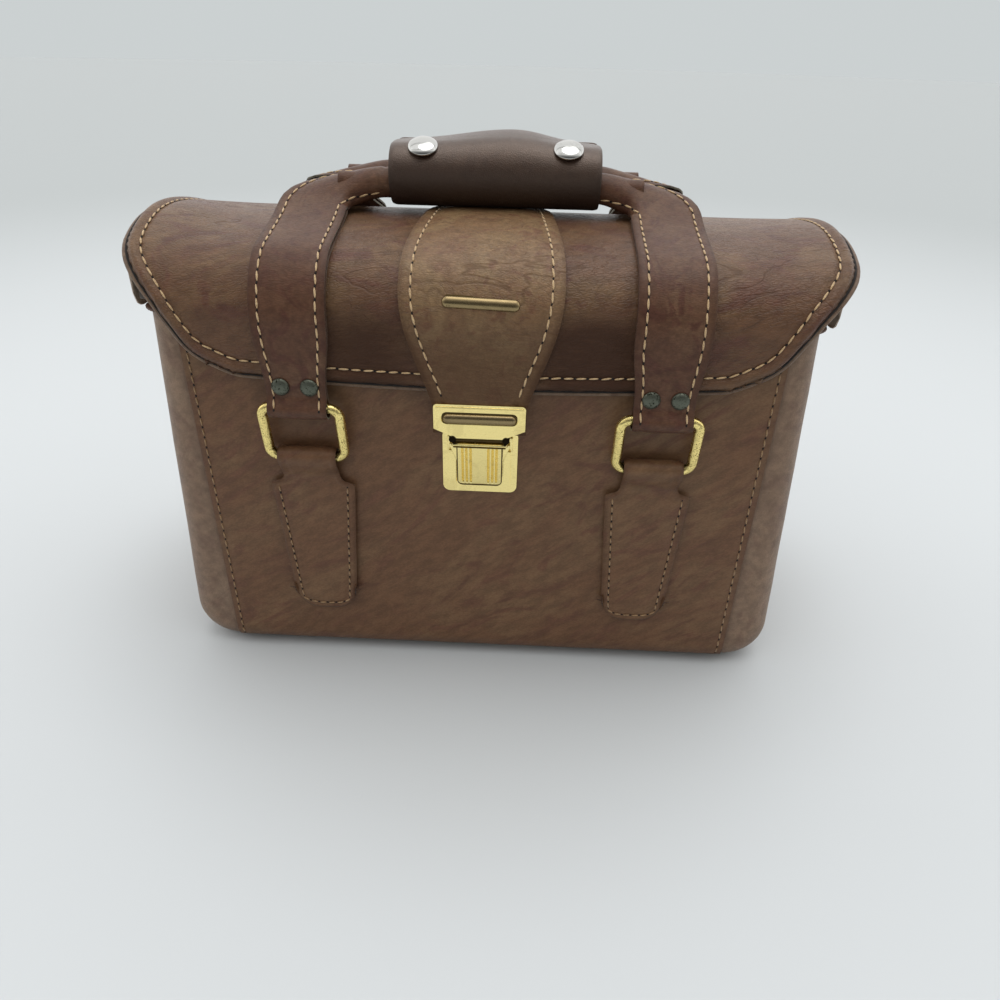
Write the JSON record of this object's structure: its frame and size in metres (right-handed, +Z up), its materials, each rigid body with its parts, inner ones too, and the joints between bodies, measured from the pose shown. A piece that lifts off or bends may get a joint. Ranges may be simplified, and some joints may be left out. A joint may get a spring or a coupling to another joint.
{
  "type": "camera case",
  "caption": "Leather camera case with a domed hinged lid and long flap, press lock on a centre strap, and two strap handles on swinging rings joined by a snapped grip",
  "frame": {"origin": "middle of the base, on the surface that the case stands on", "axes": "+X to the viewer's right along the width, +Y to the back where the lid is hinged, +Z up"},
  "size_m": [0.2776, 0.1546, 0.2256],
  "materials": {
    "antique_brass": "satin",
    "board": "matte",
    "brass": "polished, worn",
    "case_leather": "satin, marbled",
    "gold_wire": "polished, speckled",
    "grip_leather": "satin, smooth",
    "gusset_leather": "satin, smooth",
    "lining": "matte",
    "nickel": "polished",
    "padding": "matte",
    "rivet": "tarnished",
    "steel": "bright",
    "strap_leather": "satin, creased"
  },
  "bodies": {
    "case_body": {"body_gusset": "gusset_leather", "front_panel": "case_leather", "back_panel": "case_leather", "front_padding": "padding", "back_padding": "padding", "front_board": "board", "back_board": "board", "left_board": "board", "right_board": "board", "base_board": "board", "body_lining": "lining", "base_pad": "padding", "divider_left": "lining", "divider_right": "lining", "rim_binding": "gusset_leather", "hinge_strip": "gusset_leather", "front_tab_left": "strap_leather", "front_tab_right": "strap_leather", "back_tab_left": "strap_leather", "back_tab_right": "strap_leather", "lock_plate": "brass", "lock_backing": "steel", "lock_spring": "steel"},
    "lock_slider": {"lock_slider": "brass"},
    "lid": {"lid_panel": "case_leather", "lid_board": "board", "lid_lining": "lining", "flap_lining": "lining", "lid_end_left": "gusset_leather", "lid_end_right": "gusset_leather", "centre_strap": "strap_leather", "strap_bar": "antique_brass", "hasp_plate": "brass", "hasp_bar": "antique_brass", "hasp_backing": "steel"},
    "front_ring_left": {"front_ring_left": "gold_wire"},
    "front_ring_right": {"front_ring_right": "gold_wire"},
    "back_ring_left": {"back_ring_left": "gold_wire"},
    "back_ring_right": {"back_ring_right": "gold_wire"},
    "front_handle": {"front_strap_left": "strap_leather", "front_strap_right": "strap_leather", "front_strap_backing_left": "strap_leather", "front_strap_backing_right": "strap_leather", "front_strap_rivets": "rivet", "front_handle_roll": "grip_leather", "grip_wrap": "grip_leather", "snap_caps": "nickel"},
    "back_handle": {"back_strap_left": "strap_leather", "back_strap_right": "strap_leather", "back_strap_backing_left": "strap_leather", "back_strap_backing_right": "strap_leather", "back_strap_rivets": "rivet", "back_handle_roll": "grip_leather"}
  },
  "joints": [
    {"name": "lid_hinge", "type": "hinge", "parent": "case_body", "child": "lid", "pos_m": [0, 0.065, 0.17], "axis": [-1, 0, 0], "range_deg": [0, 95]},
    {"name": "lock_slide", "type": "slide", "parent": "case_body", "child": "lock_slider", "axis": [0, 0, -1], "range_m": [0, 0.003], "stiffness_N_per_m": 300, "deforming": ["lock_spring"]},
    {"name": "front_ring_left_swing", "type": "hinge", "parent": "case_body", "child": "front_ring_left", "pos_m": [-0.0705, -0.0692, 0.1096], "axis": [1, 0, 0], "range_deg": [0, 95.5]},
    {"name": "front_ring_right_swing", "type": "hinge", "parent": "case_body", "child": "front_ring_right", "pos_m": [0.0705, -0.0692, 0.1096], "axis": [1, 0, 0], "range_deg": [0, 95.5]},
    {"name": "front_handle_swing", "type": "hinge", "parent": "front_ring_left", "child": "front_handle", "pos_m": [-0.0705, -0.073, 0.133], "axis": [1, 0, 0], "range_deg": [0, 67], "deforming": ["grip_wrap", "front_strap_left", "front_strap_right", "front_strap_backing_left", "front_strap_backing_right"]},
    {"name": "back_ring_left_swing", "type": "hinge", "parent": "case_body", "child": "back_ring_left", "pos_m": [-0.0705, 0.0692, 0.1096], "axis": [-1, 0, 0], "range_deg": [0, 95.5]},
    {"name": "back_ring_right_swing", "type": "hinge", "parent": "case_body", "child": "back_ring_right", "pos_m": [0.0705, 0.0692, 0.1096], "axis": [-1, 0, 0], "range_deg": [0, 95.5]},
    {"name": "back_handle_swing", "type": "hinge", "parent": "back_ring_left", "child": "back_handle", "pos_m": [-0.0705, 0.073, 0.133], "axis": [-1, 0, 0], "range_deg": [0, 67]}
  ],
  "couplings": [
    {"joint": "front_ring_left_swing", "follows": "lid_hinge", "ratio": 1},
    {"joint": "front_ring_right_swing", "follows": "lid_hinge", "ratio": 1},
    {"joint": "front_handle_swing", "follows": "lid_hinge", "ratio": 0.7},
    {"joint": "back_ring_left_swing", "follows": "lid_hinge", "ratio": 1},
    {"joint": "back_ring_right_swing", "follows": "lid_hinge", "ratio": 1},
    {"joint": "back_handle_swing", "follows": "lid_hinge", "ratio": 0.7}
  ]
}
